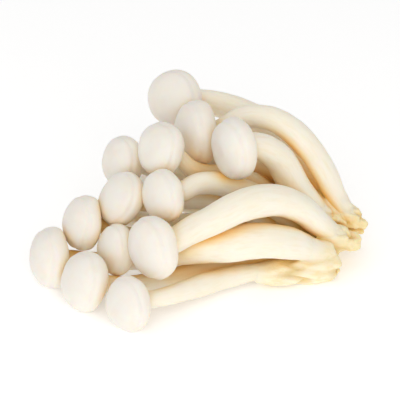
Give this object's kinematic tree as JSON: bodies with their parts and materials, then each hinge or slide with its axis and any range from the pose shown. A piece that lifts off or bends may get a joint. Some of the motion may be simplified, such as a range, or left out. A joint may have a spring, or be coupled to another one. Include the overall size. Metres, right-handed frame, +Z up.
{
  "type": "beech mushroom cluster",
  "caption": "Cluster of white beech mushrooms laid on its side: rounded caps fan out on curved stems that join in one cut foot.",
  "frame": {"origin": "middle of the surface area that the lying cluster covers, at the height of that surface", "axes": "+Z up from the surface, +X from the caps towards the cut foot, +Y away from the side with the most caps"},
  "size_m": [0.1168, 0.0986, 0.0556],
  "materials": {
    "cap_skin": "matte skin, warm white, finely mottled",
    "stem_flesh": "satin, cream, with fine lengthwise fibres",
    "foot_flesh": "rough, tan, torn and cut"
  },
  "bodies": {
    "root": {"cap_01": "cap_skin", "cap_02": "cap_skin", "cap_03": "cap_skin", "cap_04": "cap_skin", "cap_05": "cap_skin", "cap_06": "cap_skin", "cap_07": "cap_skin", "cap_08": "cap_skin", "cap_09": "cap_skin", "cap_10": "cap_skin", "cap_11": "cap_skin", "cap_12": "cap_skin", "cap_13": "cap_skin", "cap_14": "cap_skin", "cap_15": "cap_skin", "cap_16": "cap_skin", "cap_17": "cap_skin", "stem_01": "stem_flesh", "stem_02": "stem_flesh", "stem_03": "stem_flesh", "stem_04": "stem_flesh", "stem_05": "stem_flesh", "stem_06": "stem_flesh", "stem_07": "stem_flesh", "stem_08": "stem_flesh", "stem_09": "stem_flesh", "stem_10": "stem_flesh", "stem_11": "stem_flesh", "stem_12": "stem_flesh", "stem_13": "stem_flesh", "stem_14": "stem_flesh", "stem_15": "stem_flesh", "stem_16": "stem_flesh", "stem_17": "stem_flesh", "foot": "foot_flesh"}
  },
  "joints": []
}
